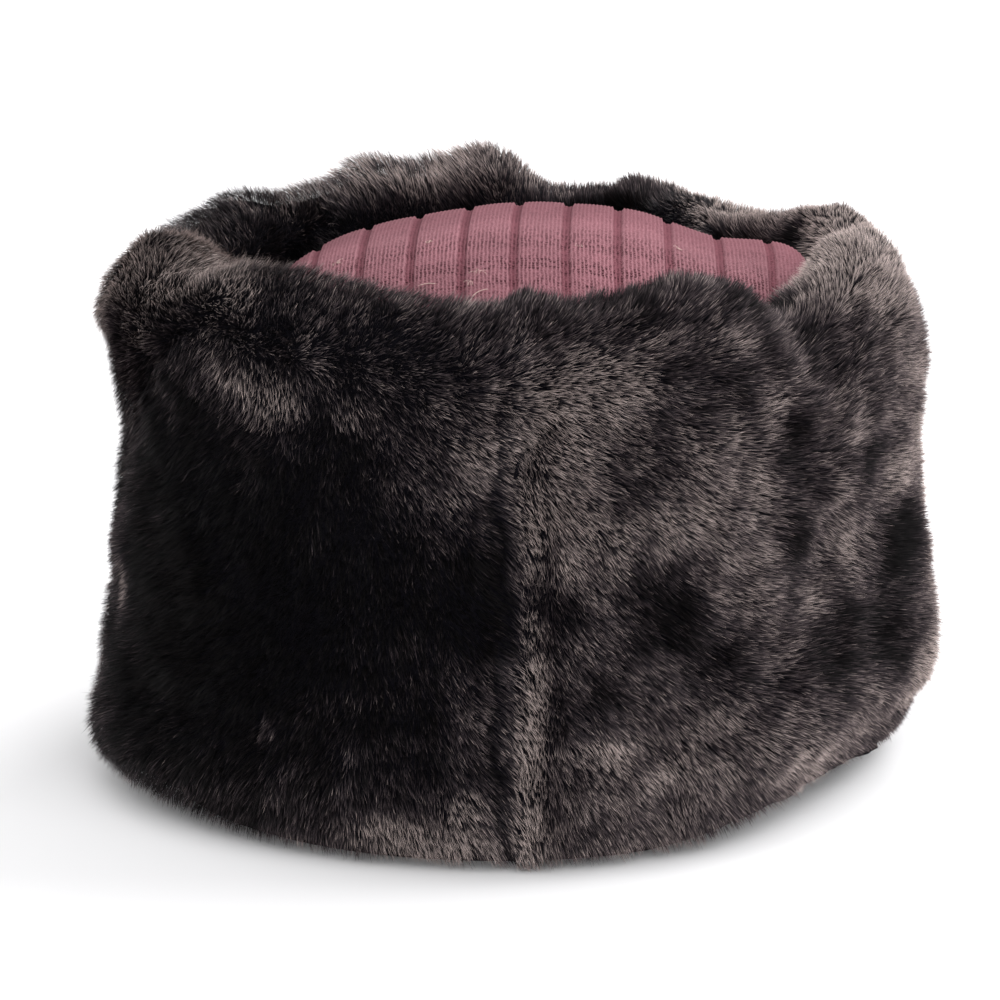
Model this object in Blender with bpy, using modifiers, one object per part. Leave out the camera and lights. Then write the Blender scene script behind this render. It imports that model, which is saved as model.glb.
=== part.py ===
# Tall fur band hat with a ribbed knit crown, modelled in metres with +Z up.
# The origin is on the surface that the hat rests on, below the middle of the band.
# The front seam faces -Y, and bearings are degrees from +X, turning towards +Y.

import math

import bmesh
import bpy
from mathutils import Vector, noise

# Plan of the band, measured on the inside face of its backing
INNER_WIDTH = 0.187
INNER_DEPTH = 0.180
PLAN_SKEW = 0.030
SKEW_BEARING = 28.0

# The band: a backing with deep pile, folded inwards over the rim
BAND_HEIGHT = 0.147
BACKING = 0.004
PILE = 0.015
WALL = BACKING + PILE
RIM_INSIDE = 0.013
FLAT_HEM = 0.012
HOLLOW_STEPS = 3
LINE_STEPS = 8

# Height shares over which the rim's humps set in, a lifted hem fades out, folds fade
# out towards the hem, and a seam's dip fades out towards the hem and the rim
HUMPS_START = 0.55
HEM_LIFT_END = 0.45
FOLDS_START = 0.05
SEAM_START = 0.12
SEAM_FADE = (0.76, 0.92)

# Seams between the two fur panels. at_rim is the share of a seam's depth left at the rim.
FRONT_SEAM_BEARING = -90.0
BACK_SEAM_BEARING = 72.0
SEAM_GAP = 0.0003
SEAM_DEPTH = 0.0055
SEAM_HALF_WIDTH = 0.0060
SEAMS = (
    {"bearing": FRONT_SEAM_BEARING, "at_rim": 0.10},
    {"bearing": BACK_SEAM_BEARING, "at_rim": 0.90},
)

# Locks of fur, in rows that overlap like shingles. along is a share of a row's length,
# lift and hang are shares of LOCK_LIFT and LOCK_HANG. A grain is a noise's steps for each
# radian and each row, and its seed.
LOCK_ROWS = 10
LOCKS_RIGHT = 15
LOCKS_LEFT = 18
COLUMNS_PER_LOCK = 4
SEAM_CROWDING = 0.45
LOCK_LIFT = 0.0026
LOCK_HANG = 0.0042
LOCK_SPREAD = 0.60
LOCK_WANDER = 0.45
SHALLOWEST_LOCK = 0.12
SWELL_GRAIN = (4.0, 0.7, 3.1)
WANDER_GRAIN = (3.0, 1.3, 8.7)
END_ROW_SWELL = 0.35
LOCK_PROFILE = (
    {"along": 0.04, "lift": 1.00, "hang": 1.00},
    {"along": 0.45, "lift": 0.55, "hang": 0.25},
    {"along": 0.91, "lift": 0.00, "hang": 0.00},
)

# The knit crown: sewn in below the rim, and rising from its seam
CROWN_SEAM_DEPTH = 0.035
CROWN_SEAM_HEIGHT = BAND_HEIGHT - CROWN_SEAM_DEPTH
CROWN_CLEARANCE = 0.0006
CROWN_RISE = 0.0490
CROWN_FALL = 1.6
CROWN_FULLNESS = 3.2
KNIT_THICKNESS = 0.0024
RIB_PITCH = 0.0142
RIB_GROOVE_WIDTH = 0.0040
RIB_GROOVE_DEPTH = 0.0016
GROOVE_CLEARANCE = RIB_GROOVE_WIDTH / 4
GROOVE_FADE = 8
DOME_WIDTH_SHARE = 0.99
CROWN_ROWS = (0.0, 0.36, 0.64, 0.82, 0.93, 0.98, 1.0)
HALVINGS = 40

# Faces that meet at more than this many degrees keep a crisp edge
SHARP_EDGE = 50.0

# The fur's line in section, from the hem over the rim to the crown seam.
# out is a share of WALL, and in is a share of the roll that lies inside the backing.
# up is a share of BAND_HEIGHT up to the rim, and then of the way down to the crown seam.
HEM_LINE = (
    {"out": 0.90, "up": 0.030},
    {"out": 1.08, "up": 0.105},
    {"out": 1.14, "up": 0.190},
    {"out": 1.07, "up": 0.330},
    {"out": 0.96, "up": 0.500},
    {"out": 0.90, "up": 0.660},
    {"out": 0.93, "up": 0.790},
    {"out": 1.00, "up": 0.880},
    {"out": 0.86, "up": 0.955},
    {"out": 0.50, "up": 0.995},
    {"out": 0.12, "up": 1.000},
)
RIM_LINE = (
    {"in": 0.45, "down": 0.060},
    {"in": 0.86, "down": 0.230},
    {"in": 1.00, "down": 0.480},
    {"in": 0.97, "down": 0.760},
    {"in": 0.70, "down": 0.940},
)

# Humps and dips along the rim. rise is a share of BAND_HEIGHT, spread is degrees.
RIM_HUMPS = (
    {"bearing": 116.0, "spread": 13.0, "rise": 0.068},
    {"bearing": 95.0, "spread": 8.0, "rise": 0.086},
    {"bearing": 148.0, "spread": 13.0, "rise": 0.046},
    {"bearing": 70.0, "spread": 6.0, "rise": 0.030},
    {"bearing": 60.0, "spread": 7.0, "rise": 0.016},
    {"bearing": 44.0, "spread": 8.0, "rise": -0.018},
    {"bearing": 23.0, "spread": 9.0, "rise": 0.054},
    {"bearing": 6.0, "spread": 7.0, "rise": -0.035},
    {"bearing": -16.0, "spread": 12.0, "rise": 0.085},
    {"bearing": -41.0, "spread": 6.0, "rise": -0.050},
    {"bearing": -61.0, "spread": 13.0, "rise": 0.056},
    {"bearing": -90.0, "spread": 25.0, "rise": 0.030},
    {"bearing": -128.0, "spread": 20.0, "rise": 0.074},
    {"bearing": -165.0, "spread": 13.0, "rise": 0.062},
    {"bearing": 173.0, "spread": 8.0, "rise": -0.030},
)

# Where the crown is fuller at its edge. extra adds to CROWN_FULLNESS, spread is degrees.
CROWN_SHOULDERS = ({"bearing": 0.0, "spread": 30.0, "extra": 4.4},)

# Soft troughs in the crown, along its ribs. across is their place from the middle and wide
# their half width, in shares of INNER_WIDTH, and deep is a share of CROWN_RISE.
CROWN_SAGS = (
    {"across": 0.305, "wide": 0.096, "deep": 0.130},
    {"across": -0.128, "wide": 0.096, "deep": 0.024},
)

# How far the fur rolls in over the rim. extra is a share of RIM_INSIDE, spread is degrees.
ROLLS = (
    {"bearing": 186.0, "spread": 34.0, "extra": 0.26},
    {"bearing": -2.0, "spread": 34.0, "extra": -0.50},
)

# The hem stands clear of the surface here. spread is degrees, rise a share of PILE.
HEM_LIFTS = ({"bearing": -30.0, "spread": 42.0, "rise": 0.68},)

# Bulges and creases of the outer wall. long and wide are the half length and half width,
# and up the height, in shares of BAND_HEIGHT. lean is degrees from upright, towards
# higher bearings, and push is a share of PILE, outwards.
FOLDS = (
    {"bearing": -37.0, "up": 0.90, "long": 0.185, "wide": 0.045, "lean": -58.0, "push": -0.42},
    {"bearing": -6.0, "up": 0.95, "long": 0.300, "wide": 0.080, "lean": 90.0, "push": -0.30},
    {"bearing": -2.0, "up": 0.72, "long": 0.140, "wide": 0.080, "lean": 0.0, "push": 0.22},
    {"bearing": -39.0, "up": 0.50, "long": 0.190, "wide": 0.048, "lean": 61.0, "push": -0.50},
    {"bearing": -27.0, "up": 0.40, "long": 0.110, "wide": 0.060, "lean": 10.0, "push": -0.42},
    {"bearing": -8.0, "up": 0.30, "long": 0.200, "wide": 0.110, "lean": 0.0, "push": 0.38},
    {"bearing": -38.0, "up": 0.71, "long": 0.150, "wide": 0.090, "lean": 55.0, "push": 0.24},
    {"bearing": -69.0, "up": 0.12, "long": 0.080, "wide": 0.040, "lean": -20.0, "push": -0.34},
    {"bearing": -68.0, "up": 0.34, "long": 0.110, "wide": 0.100, "lean": 90.0, "push": -0.18},
    {"bearing": -64.0, "up": 0.64, "long": 0.220, "wide": 0.180, "lean": 0.0, "push": 0.18},
    {"bearing": -27.0, "up": 0.05, "long": 0.240, "wide": 0.080, "lean": 90.0, "push": -0.46},
    {"bearing": -156.0, "up": 0.72, "long": 0.320, "wide": 0.050, "lean": 84.0, "push": -0.36},
    {"bearing": -164.0, "up": 0.86, "long": 0.280, "wide": 0.070, "lean": 90.0, "push": 0.20},
    {"bearing": -128.0, "up": 0.67, "long": 0.110, "wide": 0.090, "lean": 0.0, "push": 0.18},
    {"bearing": -112.0, "up": 0.50, "long": 0.240, "wide": 0.160, "lean": 0.0, "push": 0.10},
    {"bearing": -160.0, "up": 0.10, "long": 0.300, "wide": 0.110, "lean": 90.0, "push": 0.54},
    {"bearing": 150.0, "up": 0.46, "long": 0.280, "wide": 0.050, "lean": 14.0, "push": -0.36},
    {"bearing": 120.0, "up": 0.74, "long": 0.200, "wide": 0.048, "lean": 72.0, "push": -0.30},
    {"bearing": 112.0, "up": 0.54, "long": 0.220, "wide": 0.160, "lean": 0.0, "push": 0.16},
    {"bearing": 94.0, "up": 0.32, "long": 0.220, "wide": 0.048, "lean": -24.0, "push": -0.32},
    {"bearing": 46.0, "up": 0.56, "long": 0.200, "wide": 0.140, "lean": 0.0, "push": 0.18},
    {"bearing": 24.0, "up": 0.34, "long": 0.240, "wide": 0.048, "lean": 30.0, "push": -0.36},
)


def plan_radius(bearing):
    """Radius of the backing's inside face at this bearing in degrees."""
    turn = math.radians(bearing)
    half_width, half_depth = INNER_WIDTH / 2, INNER_DEPTH / 2
    oval = half_width * half_depth / math.hypot(
        half_depth * math.cos(turn), half_width * math.sin(turn)
    )
    return oval * (1 + PLAN_SKEW * math.cos(2 * math.radians(bearing - SKEW_BEARING)))


def turn_between(bearing, other):
    """Smallest turn in degrees from one bearing to another."""
    return (bearing - other + 180.0) % 360.0 - 180.0


def smooth_step(value, start=0.0, end=1.0):
    """Rises smoothly from 0 at the start to 1 at the end."""
    value = min(max((value - start) / (end - start), 0.0), 1.0)
    return value * value * (3 - 2 * value)


def grain_at(grain, bearing, row):
    """A smooth seeded noise from -1 to 1 over the rows of locks."""
    around, up, seed = grain
    return noise.noise(Vector((math.radians(bearing) * around, row * up, seed)))


def bell(value):
    return math.exp(-value * value)


def rim_rise(bearing):
    """How far the rim's humps and dips lift it here, in metres."""
    share = sum(
        hump["rise"] * bell(turn_between(bearing, hump["bearing"]) / hump["spread"])
        for hump in RIM_HUMPS
    )
    return share * BAND_HEIGHT


def roll_inside(bearing):
    """How far the fur rolls in over the rim here, from the backing, in metres."""
    share = sum(
        roll["extra"] * bell(turn_between(bearing, roll["bearing"]) / roll["spread"])
        for roll in ROLLS
    )
    return RIM_INSIDE * (1 + share)


def hem_lift(bearing):
    """How far the hem stands clear of the surface here, in metres."""
    lift = 0.0
    for raised in HEM_LIFTS:
        turn = abs(turn_between(bearing, raised["bearing"])) / raised["spread"]
        lift += raised["rise"] * PILE * smooth_step(1.0 - turn)
    return lift


def fold_push(bearing, up):
    """How far the folds push the outer wall out at a height share, in metres."""
    radius = (plan_radius(bearing) + WALL) / BAND_HEIGHT
    push = 0.0
    for fold in FOLDS:
        around = radius * math.radians(turn_between(bearing, fold["bearing"]))
        rise = up - fold["up"]
        lean = math.radians(fold["lean"])
        along = rise * math.cos(lean) + around * math.sin(lean)
        across = around * math.cos(lean) - rise * math.sin(lean)
        push += fold["push"] * bell(along / fold["long"]) * bell(across / fold["wide"])
    return push * PILE


def seam_dip(bearing, up):
    """How far the pile is drawn in beside a seam at a height share, in metres."""
    radius = plan_radius(bearing) + WALL
    near_rim = smooth_step(up, *SEAM_FADE)
    dip = 0.0
    for seam in SEAMS:
        away = radius * math.radians(abs(turn_between(bearing, seam["bearing"])))
        kept = 1.0 - (1.0 - seam["at_rim"]) * near_rim
        dip += SEAM_DEPTH * kept * bell(away / SEAM_HALF_WIDTH)
    return dip * smooth_step(up, 0.0, SEAM_START)


def fur_line(bearing):
    """The fur's smooth line in section, as (out, up) points from hem to crown seam."""
    rise, foot = rim_rise(bearing), hem_lift(bearing)
    points = [(FLAT_HEM, foot)]
    for station in HEM_LINE:
        up = station["up"]
        lifted = up * BAND_HEIGHT + rise * smooth_step(up, HUMPS_START)
        lifted += foot * (1.0 - smooth_step(up, 0.0, HEM_LIFT_END))
        folded = fold_push(bearing, up) * smooth_step(up, 0.0, FOLDS_START)
        points.append((station["out"] * WALL + folded, lifted))
    top = BAND_HEIGHT + rise
    fall = top - CROWN_SEAM_HEIGHT
    for station in RIM_LINE:
        points.append((-station["in"] * roll_inside(bearing), top - station["down"] * fall))
    points.append((0.0, CROWN_SEAM_HEIGHT))
    return points


def spline_point(points, span, share):
    """A point of the Catmull-Rom curve through the points, in the given span."""
    last = len(points) - 1
    before, start = points[max(span - 1, 0)], points[span]
    end, after = points[span + 1], points[min(span + 2, last)]
    square, cube = share * share, share**3
    return tuple(
        0.5
        * (
            2 * b
            + (c - a) * share
            + (2 * a - 5 * b + 4 * c - d) * square
            + (3 * b - a - 3 * c + d) * cube
        )
        for a, b, c, d in zip(before, start, end, after)
    )


def even_points(points, shares):
    """Points, directions and outward normals of the curve at these shares of its length."""
    fine = [
        spline_point(points, span, step / LINE_STEPS)
        for span in range(len(points) - 1)
        for step in range(LINE_STEPS)
    ] + [points[-1]]
    lengths = [0.0]
    for start, end in zip(fine, fine[1:]):
        lengths.append(lengths[-1] + math.dist(start, end))
    found = []
    for share in shares:
        target = share * lengths[-1]
        index = next(i for i in range(1, len(fine)) if lengths[i] >= target - 1e-12)
        start, end = Vector(fine[index - 1]), Vector(fine[index])
        part = (target - lengths[index - 1]) / (lengths[index] - lengths[index - 1])
        along = (end - start).normalized()
        found.append((start.lerp(end, part), along, Vector((along.y, -along.x))))
    return found


def lock_swell(bearing, row, lock_share):
    """How full a lock is: 0 at its sides, 1 on its middle line, and a little uneven."""
    across = abs((lock_share + 0.5 * (row % 2)) % 1.0 - 0.5) * 2
    full = 1 - (1 - across) ** 2
    uneven = 1 + LOCK_SPREAD * grain_at(SWELL_GRAIN, bearing, row)
    return max(SHALLOWEST_LOCK, full) * uneven


def section(bearing, lock_share):
    """The closed outline of a panel at a bearing, as world points."""
    foot = hem_lift(bearing)
    places = []
    for row in range(LOCK_ROWS):
        end_row = row in (0, LOCK_ROWS - 1)
        wander = LOCK_WANDER * grain_at(WANDER_GRAIN, bearing, row)
        start = row if end_row else row + wander
        places += [(row, end_row, start, step) for step in LOCK_PROFILE]
    shares = [(start + step["along"]) / LOCK_ROWS for _, _, start, step in places]
    outline = []
    for place, found in zip(places, even_points(fur_line(bearing), shares)):
        row, end_row, _, step = place
        point, along, normal = found
        swell = lock_swell(bearing, row, lock_share) * (END_ROW_SWELL if end_row else 1.0)
        lift = LOCK_LIFT * swell * step["lift"]
        hang = 0.0 if end_row else LOCK_HANG * swell * step["hang"]
        dip = seam_dip(bearing, point.y / BAND_HEIGHT)
        moved = point + normal * (lift - dip) - along * hang
        outline.append((moved.x, max(moved.y, foot)))
    outline[0] = (FLAT_HEM, foot)
    for step in range(HOLLOW_STEPS, 0, -1):
        outline.append((0.0, CROWN_SEAM_HEIGHT * step / HOLLOW_STEPS))
    outline.append((0.0, foot))
    turn = math.radians(bearing)
    radius = plan_radius(bearing)
    return [
        ((radius + out) * math.cos(turn), (radius + out) * math.sin(turn), up)
        for out, up in outline
    ]


def material(name, color, roughness):
    """A plain cloth finish with no metal in it."""
    made = bpy.data.materials.new(name)
    made.use_nodes = True
    shader = made.node_tree.nodes["Principled BSDF"]
    shader.inputs["Base Color"].default_value = (*color, 1.0)
    shader.inputs["Roughness"].default_value = roughness
    shader.inputs["Metallic"].default_value = 0.0
    return made


def fur_panel(name, start, end, locks, finish, collection):
    """One fur panel: a closed loft of sections from one seam round to the other."""
    gap_turn = math.degrees(SEAM_GAP / 2 / (min(INNER_WIDTH, INNER_DEPTH) / 2 * (1 - PLAN_SKEW)))
    columns = locks * COLUMNS_PER_LOCK
    first, last = start + gap_turn, end - gap_turn
    mesh = bmesh.new()
    rings = []
    for column in range(columns + 1):
        share = column / columns
        share -= SEAM_CROWDING * math.sin(2 * math.pi * share) / (2 * math.pi)
        bearing = first + (last - first) * share
        outline = section(bearing, column / COLUMNS_PER_LOCK)
        rings.append([mesh.verts.new(point) for point in outline])
    around = len(rings[0])
    for ring, after in zip(rings, rings[1:]):
        for i in range(around):
            j = (i + 1) % around
            mesh.faces.new((ring[i], after[i], after[j], ring[j]))
    mesh.faces.new(rings[0])
    mesh.faces.new(reversed(rings[-1]))
    bmesh.ops.recalc_face_normals(mesh, faces=mesh.faces)
    data = bpy.data.meshes.new(name)
    mesh.to_mesh(data)
    mesh.free()
    data.materials.append(finish)
    data.shade_smooth()
    data.set_sharp_from_angle(angle=math.radians(SHARP_EDGE))
    panel = bpy.data.objects.new(name, data)
    collection.objects.link(panel)
    return panel


def crown_reach(x, y):
    """Radius at which the crown leaves its flange and rises, towards a point of the plan."""
    bearing = math.degrees(math.atan2(y, x))
    return plan_radius(bearing) - roll_inside(bearing) - LOCK_LIFT - CROWN_CLEARANCE


def crown_height(x, y):
    """Height of the dome's outer face over a point of the plan, without its ribs."""
    out = min(math.hypot(x, y) / crown_reach(x, y), 1.0)
    bearing = math.degrees(math.atan2(y, x))
    fullness = CROWN_FULLNESS + sum(
        shoulder["extra"] * bell(turn_between(bearing, shoulder["bearing"]) / shoulder["spread"])
        for shoulder in CROWN_SHOULDERS
    )
    full = (1 - out**CROWN_FALL) ** (1 / fullness)
    for sag in CROWN_SAGS:
        trough = sag["deep"] * bell((x / INNER_WIDTH - sag["across"]) / sag["wide"])
        full *= 1 - trough
    return CROWN_SEAM_HEIGHT - CROWN_CLEARANCE + CROWN_RISE * full


def rib_columns(left, right):
    """Places across the dome of each groove's two shoulders and its bottom."""
    columns = [left, right]
    for groove in range(math.ceil(left / RIB_PITCH), math.floor(right / RIB_PITCH) + 1):
        for side in (-0.5, 0.0, 0.5):
            place = groove * RIB_PITCH + side * RIB_GROOVE_WIDTH
            if left + GROOVE_CLEARANCE < place < right - GROOVE_CLEARANCE:
                columns.append(place)
    return sorted(columns)


def dome_half_depth(x, side):
    """Half depth of the dome on a line across it, to the front or to the back."""
    low, high = 0.0, INNER_WIDTH
    for _ in range(HALVINGS):
        middle = (low + high) / 2
        inside = math.hypot(x, middle) < crown_reach(x, side * middle)
        low, high = (middle, high) if inside else (low, middle)
    return low


def knit_crown(finish, collection):
    """The knit crown: a ribbed dome with a sewn flange, given its thickness by Solidify."""
    shares = [-row for row in reversed(CROWN_ROWS[1:])] + list(CROWN_ROWS)
    left, right = -DOME_WIDTH_SHARE * crown_reach(-1, 0), DOME_WIDTH_SHARE * crown_reach(1, 0)
    columns = rib_columns(left, right)
    bpy.ops.mesh.primitive_grid_add(
        x_subdivisions=len(columns) - 1, y_subdivisions=len(shares) - 1, size=1.0
    )
    crown = bpy.context.object
    crown.name = "knit_crown"
    crown.data.name = "knit_crown"
    sheet = bmesh.new()
    sheet.from_mesh(crown.data)
    for vertex in sheet.verts:
        column = round((vertex.co.x + 0.5) * (len(columns) - 1))
        row = round((vertex.co.y + 0.5) * (len(shares) - 1))
        x, share = columns[column], shares[row]
        y = share * dome_half_depth(x, 1 if share > 0 else -1)
        offset = x % RIB_PITCH
        in_groove = min(offset, RIB_PITCH - offset) < GROOVE_CLEARANCE
        drop = RIB_GROOVE_DEPTH * (1 - abs(share) ** GROOVE_FADE) if in_groove else 0.0
        height = CROWN_SEAM_HEIGHT - CROWN_CLEARANCE
        if not vertex.is_boundary:
            height = crown_height(x, y) - drop
        vertex.co = (x, y, height)
    hem = [edge for edge in sheet.edges if edge.is_boundary]
    made = bmesh.ops.extrude_edge_only(sheet, edges=hem)["geom"]
    for vertex in (item for item in made if isinstance(item, bmesh.types.BMVert)):
        bearing = math.atan2(vertex.co.y, vertex.co.x)
        radius = plan_radius(math.degrees(bearing)) - SEAM_GAP
        vertex.co = (radius * math.cos(bearing), radius * math.sin(bearing), vertex.co.z)
    bmesh.ops.recalc_face_normals(sheet, faces=sheet.faces)
    if sum(face.normal.z for face in sheet.faces) < 0:
        bmesh.ops.reverse_faces(sheet, faces=sheet.faces)
    sheet.to_mesh(crown.data)
    sheet.free()
    crown.data.materials.append(finish)
    crown.data.shade_smooth()
    solidify = crown.modifiers.new("knit thickness", "SOLIDIFY")
    solidify.thickness = KNIT_THICKNESS
    solidify.offset = -1.0
    for owner in list(crown.users_collection):
        owner.objects.unlink(crown)
    collection.objects.link(crown)
    return crown


def main():
    for obj in list(bpy.data.objects):
        bpy.data.objects.remove(obj)
    collection = bpy.data.collections.new("fur_hat")
    bpy.context.scene.collection.children.link(collection)
    fur = material("dark fur", (0.030, 0.024, 0.022), 0.62)
    knit = material("rose ribbed knit", (0.300, 0.120, 0.135), 0.90)
    right = (FRONT_SEAM_BEARING, BACK_SEAM_BEARING)
    left = (BACK_SEAM_BEARING, FRONT_SEAM_BEARING + 360.0)
    fur_panel("fur_panel_right", *right, LOCKS_RIGHT, fur, collection)
    fur_panel("fur_panel_left", *left, LOCKS_LEFT, fur, collection)
    knit_crown(knit, collection)


main()
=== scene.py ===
# Looks of a tall fur band hat with a ribbed knit crown. Metres, +Z up, front seam towards -Y.
# A bearing is degrees from +X, turning towards +Y, so the front seam is at -90.

import math

import bmesh
import bpy
import numpy as np
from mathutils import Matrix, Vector, kdtree, noise
from mathutils.bvhtree import BVHTree


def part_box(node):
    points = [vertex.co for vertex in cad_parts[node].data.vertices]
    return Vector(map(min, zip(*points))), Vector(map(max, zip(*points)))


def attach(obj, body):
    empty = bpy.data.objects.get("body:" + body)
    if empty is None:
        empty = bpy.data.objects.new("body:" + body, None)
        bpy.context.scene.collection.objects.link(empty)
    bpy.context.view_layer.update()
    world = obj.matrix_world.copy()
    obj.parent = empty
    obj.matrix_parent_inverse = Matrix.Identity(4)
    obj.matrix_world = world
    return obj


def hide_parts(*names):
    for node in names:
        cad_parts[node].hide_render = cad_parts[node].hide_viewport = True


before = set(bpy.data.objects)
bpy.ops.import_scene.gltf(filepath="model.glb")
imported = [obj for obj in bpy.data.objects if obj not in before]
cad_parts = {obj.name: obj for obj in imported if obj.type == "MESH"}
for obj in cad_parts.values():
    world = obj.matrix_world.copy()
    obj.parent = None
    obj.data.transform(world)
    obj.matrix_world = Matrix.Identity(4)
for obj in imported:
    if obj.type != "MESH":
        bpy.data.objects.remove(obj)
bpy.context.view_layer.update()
bpy.ops.object.select_all(action="DESELECT")


def new_material(name, finish):
    """A material, its node tree and its shader, with these inputs of the shader set."""
    made = bpy.data.materials.new(name)
    made.use_nodes = True
    shader = made.node_tree.nodes["Principled BSDF"]
    for key, value in finish.items():
        shader.inputs[key].default_value = value
    return made, made.node_tree, shader


# The view: the hat stands on a plain white table top, seen from the front seam's side and
# from a little above, in soft light with its strongest part from the right and the back.

CAMERA_DISTANCE = 1.10
CAMERA_ELEVATION = 15.0
AIM_HEIGHT = 0.078
LENS_PIXELS = 3850.0
PICTURE_PIXELS = 1000.0
SENSOR = 0.036
SHIFT = (-0.017, -0.013)

camera_data = bpy.data.cameras.new("camera")
camera_data.sensor_width = SENSOR * 1000
camera_data.lens = SENSOR * 1000 * LENS_PIXELS / PICTURE_PIXELS
camera_data.shift_x, camera_data.shift_y = SHIFT
camera_data.clip_end = 50.0
camera = bpy.data.objects.new("camera", camera_data)
bpy.context.scene.collection.objects.link(camera)
tilt = math.radians(CAMERA_ELEVATION)
camera.location = (
    0.0,
    -CAMERA_DISTANCE * math.cos(tilt),
    CAMERA_DISTANCE * math.sin(tilt) + AIM_HEIGHT,
)
camera.rotation_euler = (math.pi / 2 - tilt, 0.0, 0.0)
bpy.context.scene.camera = camera
bpy.context.scene.view_settings.view_transform = "Standard"

TABLE_SIZE = 30.0
TABLE_WHITE = (0.86, 0.855, 0.865)

bpy.ops.mesh.primitive_plane_add(size=TABLE_SIZE)
table = bpy.context.object
table.name = "table_top"
white_top, _, _ = new_material("white table top", {
    "Base Color": (*TABLE_WHITE, 1.0), "Roughness": 0.9, "Specular IOR Level": 0.0})
table.data.materials.append(white_top)
table.select_set(False)

# Each lamp: where it shines from, its irradiance, and how wide it looks in degrees
LAMPS = (
    {"name": "back_right_lamp", "from": (0.90, 0.55, 0.95), "power": 2.7, "width": 50.0},
    {"name": "front_lamp", "from": (0.45, -1.0, 0.75), "power": 1.9, "width": 70.0},
    {"name": "left_lamp", "from": (-0.9, 0.10, 0.80), "power": 0.8, "width": 80.0},
)
for lamp in LAMPS:
    light = bpy.data.lights.new(lamp["name"], "SUN")
    light.energy = lamp["power"]
    light.angle = math.radians(lamp["width"])
    holder = bpy.data.objects.new(lamp["name"], light)
    holder.rotation_euler = Vector(lamp["from"]).to_track_quat("Z", "Y").to_euler()
    bpy.context.scene.collection.objects.link(holder)

SKY_LIGHT = 0.74
SKY_SEEN = 1.0

sky = bpy.data.worlds.new("white room")
sky.use_nodes = True
bpy.context.scene.world = sky
nodes, links = sky.node_tree.nodes, sky.node_tree.links
background = nodes["Background"]
background.inputs["Color"].default_value = (1.0, 1.0, 1.0, 1.0)
path = nodes.new("ShaderNodeLightPath")
strength = nodes.new("ShaderNodeMix")
strength.inputs[2].default_value = SKY_LIGHT
strength.inputs[3].default_value = SKY_SEEN
links.new(path.outputs["Is Camera Ray"], strength.inputs["Factor"])
links.new(strength.outputs[0], background.inputs["Strength"])


# The knit crown: a dome of fine rib knit in dusty rose yarn, sewn by its flange to the
# fur band below the rim. Broad ribs of thirteen wales lie between narrow sunk grooves.

RIB_PITCH = 0.0142
WALES_PER_RIB = 13
WALE = RIB_PITCH / WALES_PER_RIB
GROOVE_HALF = 0.0009
RIB_EDGE = 0.0006
RIB_HIGH = 0.0011
WALE_HIGH = 0.00022
RIB_LEAN = 0.036
DOME_FALL = 1.6
DOME_FULLNESS = 3.2
DOME_SETTLED = 0.978
KNIT_THICKNESS = 0.0024
THICKNESS_SHOWN = 0.8
DOME_ROWS = 64
ROW_CROWDING = 1.6
WALE_STATIONS = ((-0.5, 0.0), (0.0, 1.0))
SIDE_MARGIN = 0.0004
RIB_ROUND = 0.20
EDGE_STEEPNESS = 30
SLOPE_STEP = 0.0005
OUTSIDE_ALL = 0.2
WIDEST = 0.12
HALVINGS = 30

# The dome is fuller at its right edge, and it sags in soft troughs along its ribs. All of
# its rise is settled a little below the solid's.
# extra adds to DOME_FULLNESS over a spread in degrees. across and wide are shares of the
# hollow's width, and deep is a share of the dome's rise.
DOME_SHOULDERS = ({"bearing": 0.0, "spread": 30.0, "extra": 4.4},)
DOME_SAGS = (
    {"across": 0.305, "wide": 0.096, "deep": 0.130},
    {"across": -0.128, "wide": 0.096, "deep": 0.024},
)
HOLLOW_WIDTH = 0.187

crown_low, crown_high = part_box("knit_crown")
flange_top = crown_low.z + KNIT_THICKNESS
dome_rise = (crown_high.z - flange_top) * DOME_SETTLED


def tree_of(*names):
    """A tree for casting rays at these CAD nodes together."""
    points, faces = [], []
    for name in names:
        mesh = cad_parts[name].data
        start = len(points)
        points += [vertex.co.copy() for vertex in mesh.vertices]
        faces += [[start + i for i in face.vertices] for face in mesh.polygons]
    return BVHTree.FromPolygons(points, faces)


def reach_around(tree, height, from_outside):
    """The radius where a level ray meets the tree, for each whole degree plus a half."""
    found = []
    for degree in range(360):
        turn = math.radians(degree + 0.5)
        way = Vector((math.cos(turn), math.sin(turn), 0.0))
        start = way * (OUTSIDE_ALL if from_outside else 0.0) + Vector((0.0, 0.0, height))
        hit = tree.ray_cast(start, -way if from_outside else way)[0]
        found.append(math.hypot(hit.x, hit.y))
    return sum(np.roll(found, shift) for shift in (2, 1, 0, -1, -2)) / 5


def at_bearing(reach, bearing):
    """A radius from reach_around at bearings in degrees."""
    return np.interp(bearing, np.arange(360) + 0.5, reach, period=360.0)


crown_tree = tree_of("knit_crown")
dome_reach = reach_around(crown_tree, flange_top + SIDE_MARGIN, True)
flange_reach = reach_around(crown_tree, flange_top - KNIT_THICKNESS / 2, True)


def dome_height(x, y):
    """Height of the smooth dome over points of the plan."""
    bearing = np.degrees(np.arctan2(y, x))
    out = np.hypot(x, y) / at_bearing(dome_reach, bearing)
    fullness = DOME_FULLNESS
    for shoulder in DOME_SHOULDERS:
        turn = (bearing - shoulder["bearing"] + 180.0) % 360.0 - 180.0
        fullness = fullness + shoulder["extra"] * np.exp(-((turn / shoulder["spread"]) ** 2))
    full = (1 - np.clip(out, 0, 1) ** DOME_FALL) ** (1 / fullness)
    for sag in DOME_SAGS:
        trough = np.exp(-(((x / HOLLOW_WIDTH - sag["across"]) / sag["wide"]) ** 2))
        full = full * (1 - sag["deep"] * trough)
    return flange_top + dome_rise * full


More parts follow.
